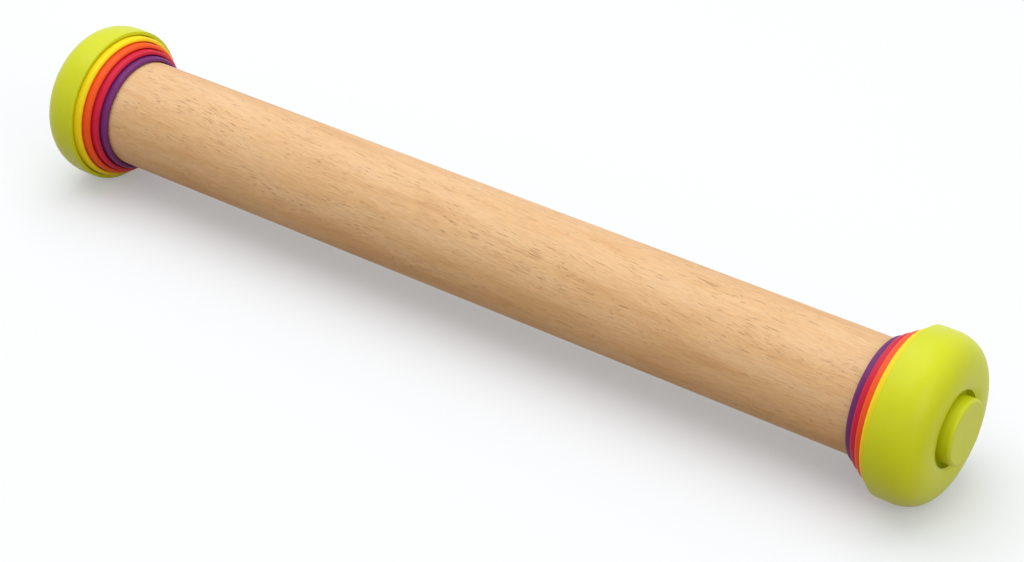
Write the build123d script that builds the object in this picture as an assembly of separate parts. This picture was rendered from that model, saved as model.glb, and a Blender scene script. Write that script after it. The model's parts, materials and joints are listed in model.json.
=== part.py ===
from build123d import *
import os

# Adjustable rolling pin: a beech roller with four nested discs and an end cap at each end.
# Each disc lifts the roller one step further off the table. A knob clamps the stack.
# All lengths are millimetres. X runs along the pin, Z is up, the origin is on the table.

# Roller
roller_length = 370.0
roller_radius = 22.0
roller_end_chamfer = 1.2

# Discs: cups that nest over each other, the innermost over the end of the roller
disc_names = ("purple_disc", "red_disc", "orange_disc", "yellow_disc")
lift_height = 2.0
cup_depth = 12.0
disc_floor = 3.0
nest_gap = 0.3
lip_outer_radius = 1.2
lip_inner_chamfer = 0.3
disc_back_radius = 2.4
cup_corner_chamfer = 0.8
bore_gap = 0.2

# End cap: the largest disc, with a rounded shoulder that dips into the knob's recess
cap_floor = 3.0
cap_barrel_rise = 0.1
cap_crest_place = 6.0
cap_height = 19.0
cap_lip_radius = 0.4
cap_wall = 2.4
shoulder_handle_share = 0.64
recess_radius = 14.5
recess_roll_width = 3.2
recess_roll_drop = 0.9
cap_hub_wall = 2.2
cap_rib_count = 8
cap_rib_width = 1.8

# Clamp knob and the stud that is moulded into it
knob_radius = 12.4
knob_height = 6.5
knob_edge_radius = 1.3
knob_base_chamfer = 0.5
stud_neck_radius = 7.0
stud_core_radius = 5.0
stud_tip_chamfer = 0.8
stud_grip_depth = 3.6
stud_flange_radius = 8.4
stud_flange_width = 1.4
thread_height = 1.0
thread_gap = 0.1
thread_engagement = 10.0

# Thrust washer under the knob
washer_width = 1.0
washer_radius = 11.6

# Threaded insert, pressed into the end of the roller
insert_radius = 10.0
insert_barb_height = 0.8
insert_barb_length = 3.0
insert_barb_count = 4
insert_flange_radius = 15.0
insert_flange_width = 2.0
insert_end_wall = 2.0
neck_spare_depth = 1.5
stud_spare_depth = 2.5

cut_overrun = 1.0

# Places along the axis, measured outward from the end face of the wood
axis_height = roller_radius + lift_height * (len(disc_names) + 1)
stack_height = disc_floor * len(disc_names)
cap_radius = axis_height
cap_lip_place = stack_height - cup_depth
recess_place = stack_height + cap_floor
cap_face_place = cap_lip_place + cap_height
knob_place = recess_place + washer_width
bore_radius = stud_neck_radius + bore_gap
hub_radius = recess_radius + cap_hub_wall

# With one disc left on, the neck and the stud reach this much deeper than with the full stack
spare_reach = recess_place - disc_floor
neck_pocket_depth = spare_reach + neck_spare_depth
thread_length = neck_pocket_depth + thread_engagement
insert_bore_depth = thread_length + spare_reach + stud_spare_depth
insert_length = insert_bore_depth + insert_end_wall
insert_bore_radius = stud_core_radius + thread_height + thread_gap


def turned(*outlines):
    """Solid made by turning a closed outline about the pin's axis, which is X here."""
    return revolve(make_face(outlines), Axis.X)


def ring(inner_radius, outer_radius, start, end):
    """Plain ring, or a cylinder where the inner radius is zero."""
    corners = (start, inner_radius), (end, inner_radius), (end, outer_radius), (start, outer_radius)
    return turned(Polyline(*corners, close=True))


def at_other_end(piece):
    """The same piece turned round to the left end of the pin."""
    return Rot(0, 0, 180) * piece


def roller():
    """Beech cylinder, bored and counterbored at both ends for the inserts."""
    half = roller_length / 2
    corners = (
        (-half, 0),
        (half, 0),
        (half, roller_radius - roller_end_chamfer),
        (half - roller_end_chamfer, roller_radius),
        (roller_end_chamfer - half, roller_radius),
        (-half, roller_radius - roller_end_chamfer),
    )
    wood = turned(Polyline(*corners, close=True))
    seat = half - insert_flange_width
    bore = ring(0, insert_radius + insert_barb_height, half - insert_length, half + cut_overrun)
    counterbore = ring(0, insert_flange_radius, seat, half + cut_overrun)
    for hole in (bore, counterbore):
        wood = wood - hole - at_other_end(hole)
    return wood


def threaded_insert():
    """Flanged sleeve with barbs outside, and a pocket for the neck ahead of the thread's bore."""
    barb_pitch = (insert_length - insert_flange_width - insert_barb_length) / insert_barb_count
    outside = [(0, 0), (0, insert_flange_radius), (-insert_flange_width, insert_flange_radius)]
    outside.append((-insert_flange_width, insert_radius))
    for index in range(insert_barb_count):
        barb_place = -(insert_flange_width + insert_barb_length + index * barb_pitch)
        outside.append((barb_place, insert_radius))
        outside.append((barb_place, insert_radius + insert_barb_height))
        outside.append((barb_place - insert_barb_length, insert_radius))
    outside.append((-insert_length, insert_radius))
    outside.append((-insert_length, 0))
    sleeve = turned(Polyline(*outside, close=True))
    neck_pocket = ring(0, bore_radius, -neck_pocket_depth, cut_overrun)
    thread_bore = ring(0, insert_bore_radius, -insert_bore_depth, cut_overrun)
    return sleeve - neck_pocket - thread_bore


def cup_inside(inner_radius, floor_place):
    """Corners of a cup's inside, from its lip, along its wall and floor, to its bore."""
    lip_place = floor_place - cup_depth
    return [
        (lip_place, inner_radius + lip_inner_chamfer),
        (lip_place + lip_inner_chamfer, inner_radius),
        (floor_place - cup_corner_chamfer, inner_radius),
        (floor_place, inner_radius - cup_corner_chamfer),
        (floor_place, bore_radius),
    ]


def disc(index):
    """One nesting cup. Its lip is rounded, and its floor lies on the floor of the last one."""
    inner_radius = roller_radius + lift_height * index + nest_gap
    outer_radius = roller_radius + lift_height * (index + 1)
    floor_place = disc_floor * index
    back_place = floor_place + disc_floor
    inside = cup_inside(inner_radius, floor_place)
    outside = [(back_place, bore_radius), (back_place, outer_radius)]
    outside.append((floor_place - cup_depth, outer_radius))
    radii = [0] * len(inside) + [0, disc_back_radius, lip_outer_radius]
    return turned(FilletPolyline(*inside, *outside, radius=radii, close=True))


def shoulder(inset):
    """The cap's round shoulder, from its crest to its face, moved inward by the inset."""
    crest = Vector(cap_lip_place + cap_crest_place, cap_radius - inset)
    face = Vector(cap_face_place - inset, recess_radius + recess_roll_width)
    handle = (face - crest) * shoulder_handle_share
    return Bezier(crest, crest + Vector(handle.X, 0), face - Vector(0, handle.Y), face)


def cap_outside():
    """Outline of the cap from the edge of its lip, over the shoulder, into the recess."""
    lip_radius = cap_radius - cap_barrel_rise
    edge = Vector(cap_lip_place, lip_radius - cap_lip_radius)
    lip = Vector(cap_lip_place + cap_lip_radius, lip_radius)
    over = shoulder(0)
    lip_round = RadiusArc(edge, lip, cap_lip_radius)
    barrel = TangentArc(over @ 0, lip, tangent=(-1, 0))
    rim = Vector(cap_face_place - recess_roll_drop, recess_radius)
    roll = TangentArc(over @ 1, rim, tangent=(0, -1))
    return [lip_round, barrel, over, roll]


def cap_cores():
    """Hollows behind the shoulder, open toward the discs, with ribs left between them."""
    inside = shoulder(cap_wall)
    start, end = inside @ 0, inside @ 1
    floor = Polyline(end, (end.X, 0), (start.X, 0), start)
    under_shoulder = turned(inside, floor)
    hollow = under_shoulder & ring(hub_radius, cap_radius, stack_height, cap_face_place)
    rib_length = 2 * cap_radius
    rib = Pos(stack_height + cap_height / 2, 0, 0) * Box(cap_height, rib_length, cap_rib_width)
    for index in range(cap_rib_count // 2):
        hollow = hollow - Rot(360 / cap_rib_count * index, 0, 0) * rib
    return hollow


def end_cap():
    """Moulded end cap: cup, crowned barrel, big soft shoulder, recess and ribbed back."""
    cup_radius = roller_radius + lift_height * len(disc_names) + nest_gap
    outline = cap_outside()
    edge, rim = outline[0] @ 0, outline[-1] @ 1
    recess = [(recess_place, bore_radius), (recess_place, recess_radius)]
    inside = Polyline(edge, *cup_inside(cup_radius, stack_height), *recess, rim)
    return turned(*outline, inside) - cap_cores()


def thrust_washer():
    """Flat ring that lets the knob turn without dragging the cap."""
    return ring(bore_radius, washer_radius, recess_place, knob_place)


def clamp_knob():
    """Round knob head, moulded over the flanged end of the stud."""
    top = knob_place + knob_height
    corners = (
        (knob_place, 0),
        (top, 0),
        (top, knob_radius),
        (knob_place + knob_base_chamfer, knob_radius),
        (knob_place, knob_radius - knob_base_chamfer),
    )
    head = turned(FilletPolyline(*corners, radius=(0, 0, knob_edge_radius, 0, 0), close=True))
    return head - knob_stud()


def knob_stud():
    """Plain neck that centres the discs, then the threaded length, drawn at its core radius."""
    grip_end = knob_place + stud_grip_depth
    flange_start = grip_end - stud_flange_width
    tip = -thread_length
    corners = (
        (tip, 0),
        (grip_end, 0),
        (grip_end, stud_flange_radius),
        (flange_start, stud_flange_radius),
        (flange_start, stud_neck_radius),
        (0, stud_neck_radius),
        (0, stud_core_radius),
        (tip + stud_tip_chamfer, stud_core_radius),
        (tip, stud_core_radius - stud_tip_chamfer),
    )
    return turned(Polyline(*corners, close=True))


def right_end_pieces():
    """Every piece of one end, in order from the wood outward."""
    pieces = {"threaded_insert": threaded_insert()}
    for index, name in enumerate(disc_names):
        pieces[name] = disc(index)
    pieces["end_cap"] = end_cap()
    pieces["thrust_washer"] = thrust_washer()
    pieces["knob_stud"] = knob_stud()
    pieces["clamp_knob"] = clamp_knob()
    return pieces


os.makedirs("parts", exist_ok=True)
on_axis = Pos(0, 0, axis_height)
to_wood_end = Pos(roller_length / 2, 0, 0)
export_step(on_axis * roller(), "parts/roller.step")
for name, piece in right_end_pieces().items():
    right = to_wood_end * piece
    export_step(on_axis * right, f"parts/{name}_right.step")
    export_step(on_axis * at_other_end(right), f"parts/{name}_left.step")
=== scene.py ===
import json
import math

import bpy
from mathutils import Euler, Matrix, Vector


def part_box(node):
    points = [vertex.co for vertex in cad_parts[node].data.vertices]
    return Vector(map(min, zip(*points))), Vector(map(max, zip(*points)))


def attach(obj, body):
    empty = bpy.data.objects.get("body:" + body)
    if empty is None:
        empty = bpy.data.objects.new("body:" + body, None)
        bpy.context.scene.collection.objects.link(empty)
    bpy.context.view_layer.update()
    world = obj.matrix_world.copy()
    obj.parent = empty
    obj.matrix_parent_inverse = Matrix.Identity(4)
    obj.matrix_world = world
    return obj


# Looks of the adjustable rolling pin. All lengths are metres, in the CAD model's frame.
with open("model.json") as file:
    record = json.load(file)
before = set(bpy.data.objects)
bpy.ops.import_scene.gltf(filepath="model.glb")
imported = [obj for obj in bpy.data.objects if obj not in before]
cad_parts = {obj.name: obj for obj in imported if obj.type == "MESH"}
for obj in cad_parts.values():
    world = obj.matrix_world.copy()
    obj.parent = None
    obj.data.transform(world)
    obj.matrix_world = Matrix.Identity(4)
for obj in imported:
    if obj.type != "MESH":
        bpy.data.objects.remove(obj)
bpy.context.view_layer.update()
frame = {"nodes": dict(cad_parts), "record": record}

# Camera: place and aim found from the outlines of both ends of the pin
camera_place = Vector((0.5052, -0.6730, 0.5591))
camera_yaw = math.radians(36.084)
camera_pitch = math.radians(32.878)
focal_pixels = 2600.8
image_width_pixels = 1024
sensor_width_mm = 36.0

# Studio: an even white room, a large soft light overhead and a weak one at the right
white = (1.0, 1.0, 1.0)
world_strength = 0.66
seen_world_strength = 1.0
key_size = 1.7
key_power = 14.5
key_place = Vector((-0.30, 0.12, 1.50))
fill_size = 1.0
fill_power = 4.5
fill_place = Vector((1.40, -0.35, 0.75))
light_target = Vector((0.0, 0.0, 0.03))

# Floor: its paint, the tone it throws back at the pin, and its lift near the pin and far away
floor_size = 8.0
floor_colour = (0.635, 0.655, 0.675)
floor_bounce = (0.27, 0.210, 0.140)
floor_near = 0.6
floor_far = 2.4
floor_near_lift = 0.255
floor_far_lift = 0.56

# Noise: its usual detail and roughness, and the two levels that most of it lies between
noise_detail = 2.0
noise_roughness = 0.5
noise_low = 0.3
noise_high = 0.7

# Full strength of a blend, a bump, a metal or a tone
full = 1.0

# Sockets of a mix node that hold colours. The others are for other kinds of data.
mix_first_input = 6
mix_second_input = 7
mix_output = 2

# Beech: colours and gloss
beech_light = (0.84, 0.550, 0.300)
beech_mid = (0.80, 0.490, 0.240)
beech_dark = (0.72, 0.410, 0.185)
beech_streak = (0.66, 0.345, 0.135)
beech_pore = (0.40, 0.200, 0.085)
beech_specular = 0.25

# Beech features: lengths along X, Y and Z. A stop is a level of the noise and what it gives.
grain_drift = math.radians(4.0)
wander_lengths = (0.035, 0.012, 0.012)
wander_detail = 1.0
wander_reach = 0.004
figure_lengths = (0.070, 0.010, 0.010)
figure_detail = 3.0
figure_stops = ((0.30, beech_dark), (0.46, beech_mid), (0.68, beech_light))
fibre_lengths = (0.0060, 0.0006, 0.0006)
fibre_roughness = 0.6
fibre_depth = 0.00016
fibre_shade_stops = ((0.30, 0.88), (0.62, 1.0))
fibre_gloss_stops = ((noise_low, 0.46), (noise_high, 0.58))
streak_lengths = (0.024, 0.0015, 0.0015)
streak_stops = ((0.54, 0.0), (0.74, 0.42))
patch_lengths = (0.045, 0.007, 0.007)
patch_stops = ((0.38, 0.0), (0.66, 0.10))
pore_lengths = (0.0065, 0.00042, 0.00042)
pore_detail = 1.0
pore_depth = 0.00014
pore_stops = ((0.70, 0.0), (0.80, 0.58))

# Moulded plastic: colours
purple = (0.17, 0.022, 0.16)
red = (0.66, 0.012, 0.050)
orange = (0.96, 0.105, 0.014)
yellow = (0.98, 0.76, 0.008)
green = (0.66, 0.705, 0.008)
nylon = (0.74, 0.73, 0.68)

# Moulded plastic: mottling, the fine grain of the mould, and scuffs from use
mottle_lengths = (0.018, 0.018, 0.018)
mottle_detail = 3.0
mottle_shade = 0.95
mould_grain_lengths = (0.00035, 0.00035, 0.00035)
mould_grain_depth = 0.000008
scuff_lengths = (0.0110, 0.0011, 0.0011)
scuff_low = 0.60
scuff_high = 0.72
scuff_roughness = 0.10
plastic_roughness = 0.40
plastic_specular = 0.24
cap_roughness = 0.38
cap_specular = 0.30
gloss_swing = 0.04

# Turned metal: colours, and rings from the lathe, round the pin's axis
steel = (0.62, 0.62, 0.64)
steel_roughness = 0.30
brass = (0.78, 0.56, 0.24)
brass_roughness = 0.32
metal_specular = 0.5
ring_lengths = (0.00012, 0.02, 0.02)
ring_depth = 0.000006
ring_shade = 0.85

# Threads, which the CAD leaves out: a ridge round each stud, and one inside each insert
thread_pitch = 0.003
ridge_height = 0.001
ridge_foot_width = 0.0020
ridge_crest_width = 0.0008
ridge_sink = 0.0001
ridge_fade_turns = 0.4
steps_per_turn = 48
stud_core_radius = 0.0050
insert_bore_radius = 0.0061
thread_end_gap = 0.001
thread_tip_gap = 0.002
insert_thread_gap = 0.004
insert_thread_length = 0.026
insert_turn_shift = 0.5


def make_camera():
    """The photograph's viewpoint."""
    data = bpy.data.cameras.new("camera")
    data.sensor_width = sensor_width_mm
    data.lens = focal_pixels / image_width_pixels * sensor_width_mm
    camera = bpy.data.objects.new("camera", data)
    camera.location = camera_place
    camera.rotation_euler = Euler((math.pi / 2 - camera_pitch, 0, camera_yaw))
    bpy.context.scene.collection.objects.link(camera)
    bpy.context.scene.camera = camera


class Recipe:
    """A node material in the making: short calls for adding nodes and wiring them up."""

    def __init__(self, name):
        self.material = bpy.data.materials.new(name)
        self.material.use_nodes = True
        self.tree = self.material.node_tree
        self.shader = self.tree.nodes["Principled BSDF"]
        self.place = self.add("ShaderNodeTexCoord").outputs["Object"]

    def add(self, kind, **settings):
        """Adds a node of one kind, with its settings."""
        node = self.tree.nodes.new(kind)
        for key, value in settings.items():
            setattr(node, key, value)
        return node

    def plug(self, value, socket):
        """Wires a socket to another node's output, or sets it to a number or a colour."""
        if isinstance(value, bpy.types.NodeSocket):
            self.tree.links.new(value, socket)
        elif isinstance(value, tuple) and len(socket.default_value) == 4:
            socket.default_value = (*value, 1)
        else:
            socket.default_value = value

    def feed(self, node, **values):
        """Plugs values into a node's inputs by name."""
        for key, value in values.items():
            self.plug(value, node.inputs[key.replace("_", " ")])
        return node

    def stretched(self, lengths, source=None):
        """Coordinates in units of the given feature lengths along X, Y and Z."""
        scale = tuple(1 / length for length in lengths)
        mapping = self.feed(self.add("ShaderNodeMapping"), Vector=source or self.place, Scale=scale)
        return mapping.outputs["Vector"]

    def meander(self):
        """Coordinates in which the grain drifts across the roller and wanders a little."""
        drift = self.feed(self.add("ShaderNodeMapping"), Vector=self.place, Rotation=(0, 0, grain_drift))
        wander = self.add("ShaderNodeTexNoise")
        self.feed(wander, Vector=self.stretched(wander_lengths), Scale=1.0, Detail=wander_detail)
        shifted = self.add("ShaderNodeVectorMath", operation="MULTIPLY_ADD")
        self.plug(wander.outputs["Color"], shifted.inputs[0])
        self.plug((0, wander_reach, wander_reach), shifted.inputs[1])
        self.plug(drift.outputs["Vector"], shifted.inputs[2])
        return shifted.outputs["Vector"]

    def noise(self, lengths, source=None, detail=noise_detail, roughness=noise_roughness):
        """Soft grey noise whose features have the given lengths."""
        node = self.add("ShaderNodeTexNoise")
        place = self.stretched(lengths, source)
        self.feed(node, Vector=place, Scale=1.0, Detail=detail, Roughness=roughness)
        return node.outputs["Fac"]

    def ramp(self, source, *stops):
        """Maps noise through stops, each a level and the colour or grey that it gives."""
        node = self.feed(self.add("ShaderNodeValToRGB"), Fac=source)
        elements = node.color_ramp.elements
        while len(elements) < len(stops):
            elements.new(1.0)
        for element, (level, shade) in zip(elements, stops):
            colour = shade if isinstance(shade, tuple) else (shade, shade, shade)
            element.position = level
            element.color = (*colour, 1)
        return node.outputs["Color"]

    def mix(self, factor, first, second, blend="MIX"):
        """Blends two colours, or outputs of other nodes, by a factor."""
        node = self.add("ShaderNodeMix", data_type="RGBA", blend_type=blend)
        self.plug(factor, node.inputs[0])
        self.plug(first, node.inputs[mix_first_input])
        self.plug(second, node.inputs[mix_second_input])
        return node.outputs[mix_output]

    def math(self, operation, first, second):
        """Works out one sum of two numbers, or outputs of other nodes."""
        node = self.add("ShaderNodeMath", operation=operation)
        self.plug(first, node.inputs[0])
        self.plug(second, node.inputs[1])
        return node.outputs[0]

    def bump(self, height, depth, below=None):
        """Bump of a real depth, laid over another bump if one is given."""
        node = self.feed(self.add("ShaderNodeBump"), Height=height, Distance=depth, Strength=full)
        if below:
            self.plug(below, node.inputs["Normal"])
        return node.outputs["Normal"]

    def shine(self, source, roughness):
        """Roughness that swings a little either way with the noise."""
        low, high = roughness - gloss_swing, roughness + gloss_swing
        return self.ramp(source, (noise_low, low), (noise_high, high))

    def finish(self, colour, roughness, normal, specular, metallic=0.0):
        """Plugs the finished looks into the shader."""
        self.feed(self.shader, Base_Color=colour, Roughness=roughness, Normal=normal)
        self.feed(self.shader, Specular_IOR_Level=specular, Metallic=metallic)
        return self.material


def beech():
    """Beech: faint long figure, fine fibre, and short dark pores that lie along the roller."""
    wood = Recipe("beech")
    place = wood.meander()
    tone = wood.ramp(wood.noise(figure_lengths, place, figure_detail), *figure_stops)
    fibre = wood.noise(fibre_lengths, place, roughness=fibre_roughness)
    tone = wood.mix(full, tone, wood.ramp(fibre, *fibre_shade_stops), blend="MULTIPLY")
    streak = wood.ramp(wood.noise(streak_lengths, place), *streak_stops)
    tone = wood.mix(streak, tone, beech_streak)
    patch = wood.ramp(wood.noise(patch_lengths, place), *patch_stops)
    pore = wood.math("ADD", wood.noise(pore_lengths, place, pore_detail), patch)
    pore = wood.ramp(pore, *pore_stops)
    tone = wood.mix(pore, tone, beech_pore)
    relief = wood.bump(fibre, fibre_depth)
    relief = wood.bump(wood.math("SUBTRACT", full, pore), pore_depth, below=relief)
    return wood.finish(tone, wood.ramp(fibre, *fibre_gloss_stops), relief, beech_specular)


def moulded(name, colour, roughness=plastic_roughness, specular=plastic_specular):
    """Satin moulded plastic with slight mottling, the mould's fine grain, and scuffs."""
    plastic = Recipe(name)
    mottle = plastic.noise(mottle_lengths, detail=mottle_detail)
    shade = plastic.ramp(mottle, (noise_low, mottle_shade), (noise_high, full))
    tone = plastic.mix(full, colour, shade, blend="MULTIPLY")
    scuff = plastic.ramp(plastic.noise(scuff_lengths), (scuff_low, 0.0), (scuff_high, scuff_roughness))
    gloss = plastic.math("ADD", plastic.shine(mottle, roughness), scuff)
    relief = plastic.bump(plastic.noise(mould_grain_lengths), mould_grain_depth)
    return plastic.finish(tone, gloss, relief, specular)


def turned_metal(name, colour, roughness):
    """Metal with fine rings from the lathe."""
    metal = Recipe(name)
    rings = metal.noise(ring_lengths)
    shade = metal.ramp(rings, (noise_low, ring_shade), (noise_high, full))
    tone = metal.mix(full, colour, shade, blend="MULTIPLY")
    relief = metal.bump(rings, ring_depth)
    return metal.finish(tone, metal.shine(rings, roughness), relief, metal_specular, metallic=full)


def make_looks():
    """One material for each slot that the record names."""
    return {
        "beech": beech(),
        "purple_plastic": moulded("purple_plastic", purple),
        "red_plastic": moulded("red_plastic", red),
        "orange_plastic": moulded("orange_plastic", orange),
        "yellow_plastic": moulded("yellow_plastic", yellow),
        "green_plastic": moulded("green_plastic", green, cap_roughness, cap_specular),
        "white_nylon": moulded("white_nylon", nylon),
        "steel": turned_metal("steel", steel, steel_roughness),
        "brass": turned_metal("brass", brass, brass_roughness),
    }


def dress_nodes(looks):
    """Gives every CAD node the material of its slot."""
    for subpart in frame["record"]["subparts"]:
        node = frame["nodes"][subpart["node"]]
        node.data.materials.clear()
        node.data.materials.append(looks[subpart["material_slot"]])


def thread_ridge(name, foot_radius, crest_radius, start, end, turn_shift=0.0):
    """Helical ridge at the right end, from one place on the axis to another, fading at its ends."""
    low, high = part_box("roller")
    axis_height = (low[2] + high[2]) / 2
    turns = (end - start) / thread_pitch
    count = int(turns * steps_per_turn)
    sunk = foot_radius + math.copysign(ridge_sink, foot_radius - crest_radius)
    corners = []
    for step in range(count + 1):
        turned = turns * step / count
        fade = min(1.0, turned / ridge_fade_turns, (turns - turned) / ridge_fade_turns)
        crest = foot_radius + (crest_radius - foot_radius) * fade
        middle = start + turned * thread_pitch
        angle = math.tau * (middle / thread_pitch + turn_shift)
        section = [(-ridge_foot_width, sunk), (-ridge_crest_width, crest)]
        section += [(ridge_crest_width, crest), (ridge_foot_width, sunk)]
        for width, radius in section:
            across, up = -radius * math.sin(angle), radius * math.cos(angle)
            corners.append((middle + width / 2, across, axis_height + up))
    sides = len(section)
    ends = [tuple(range(sides)), tuple(reversed(range(count * sides, len(corners))))]
    faces = []
    for near in range(count * sides):
        beside = near + 1 if (near + 1) % sides else near + 1 - sides
        faces.append((near, near + sides, beside + sides, beside))
    mesh = bpy.data.meshes.new(name)
    mesh.from_pydata(corners, [], ends + faces)
    return bpy.data.objects.new(name, mesh)


def add_thread(ridge, side, body, slot, looks):
    """Dresses a ridge and hangs it on its body. The left end is the right one turned round."""
    ridge.data.materials.append(looks[slot])
    ridge.rotation_euler = (0, 0, math.pi if side == "left" else 0)
    bpy.context.scene.collection.objects.link(ridge)
    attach(ridge, body)


def add_threads(looks):
    """The stud's thread and the insert's at both ends, the insert's half a turn round."""
    stud_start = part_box("knob_stud_right")[0][0] + thread_tip_gap
    stud_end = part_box("roller")[1][0] - thread_end_gap
    bore_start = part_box("threaded_insert_right")[0][0] + insert_thread_gap
    bore_end = bore_start + insert_thread_length
    stud_crest = stud_core_radius + ridge_height
    bore_crest = insert_bore_radius - ridge_height
    shift = insert_turn_shift
    for side in ("right", "left"):
        stud_name, bore_name = f"stud_thread_{side}", f"insert_thread_{side}"
        stud = thread_ridge(stud_name, stud_core_radius, stud_crest, stud_start, stud_end)
        bore = thread_ridge(bore_name, insert_bore_radius, bore_crest, bore_start, bore_end, shift)
        add_thread(stud, side, f"knob_{side}", "steel", looks)
        add_thread(bore, side, "roller", "brass", looks)


def seen_rays(tree):
    """One for rays that show a surface as it is seen, directly, mirrored or through glass."""
    rays = tree.nodes.new("ShaderNodeLightPath").outputs
    seen = rays["Is Camera Ray"]
    for name in ("Is Glossy Ray", "Is Transmission Ray"):
        either = tree.nodes.new("ShaderNodeMath")
        either.operation = "MAXIMUM"
        tree.links.new(seen, either.inputs[0])
        tree.links.new(rays[name], either.inputs[1])
        seen = either.outputs[0]
    return seen


def floor_paint():
    """Pale paint, lifted to paper white where it is seen, more so far away. It keeps the shadow."""
    paint = Recipe("floor_paint")
    lit = paint.feed(paint.add("ShaderNodeBsdfDiffuse"), Color=floor_colour)
    bounce = paint.feed(paint.add("ShaderNodeBsdfDiffuse"), Color=floor_bounce)
    away = paint.feed(paint.add("ShaderNodeVectorMath", operation="LENGTH"), Vector=paint.place)
    lift = paint.feed(paint.add("ShaderNodeMapRange"), Value=away.outputs["Value"])
    paint.feed(lift, From_Min=floor_near, From_Max=floor_far)
    paint.feed(lift, To_Min=floor_near_lift, To_Max=floor_far_lift)
    glow = paint.feed(paint.add("ShaderNodeEmission"), Color=white, Strength=lift.outputs["Result"])
    lifted = paint.add("ShaderNodeAddShader")
    paint.plug(lit.outputs[0], lifted.inputs[0])
    paint.plug(glow.outputs[0], lifted.inputs[1])
    choice = paint.feed(paint.add("ShaderNodeMixShader"), Fac=seen_rays(paint.tree))
    paint.plug(bounce.outputs[0], choice.inputs[1])
    paint.plug(lifted.outputs[0], choice.inputs[2])
    paint.feed(paint.tree.nodes["Material Output"], Surface=choice.outputs[0])
    paint.tree.nodes.remove(paint.shader)
    return paint.material


def make_floor():
    """The floor that the pin lies on."""
    half = floor_size / 2
    corners = [(-half, -half, 0), (half, -half, 0), (half, half, 0), (-half, half, 0)]
    mesh = bpy.data.meshes.new("floor")
    mesh.from_pydata(corners, [], [(0, 1, 2, 3)])
    mesh.materials.append(floor_paint())
    floor = bpy.data.objects.new("floor", mesh)
    bpy.context.scene.collection.objects.link(floor)


def make_world():
    """White room: full white where it is seen, softer as a light."""
    world = bpy.data.worlds.new("room")
    bpy.context.scene.world = world
    world.use_nodes = True
    tree = world.node_tree
    background = tree.nodes["Background"]
    background.inputs["Color"].default_value = (*white, 1)
    level = tree.nodes.new("ShaderNodeMapRange")
    level.inputs["To Min"].default_value = world_strength
    level.inputs["To Max"].default_value = seen_world_strength
    tree.links.new(seen_rays(tree), level.inputs["Value"])
    tree.links.new(level.outputs["Result"], background.inputs["Strength"])


def make_soft_light(name, size, power, place):
    """Square area light that faces the pin."""
    data = bpy.data.lights.new(name, "AREA")
    data.shape = "SQUARE"
    data.size = size
    data.energy = power
    light = bpy.data.objects.new(name, data)
    light.location = place
    light.rotation_euler = (light_target - place).to_track_quat("-Z", "Y").to_euler()
    bpy.context.scene.collection.objects.link(light)


bpy.context.scene.view_settings.view_transform = "Standard"
make_camera()
make_world()
make_soft_light("key", key_size, key_power, key_place)
make_soft_light("fill", fill_size, fill_power, fill_place)
make_floor()
looks = make_looks()
dress_nodes(looks)
add_threads(looks)
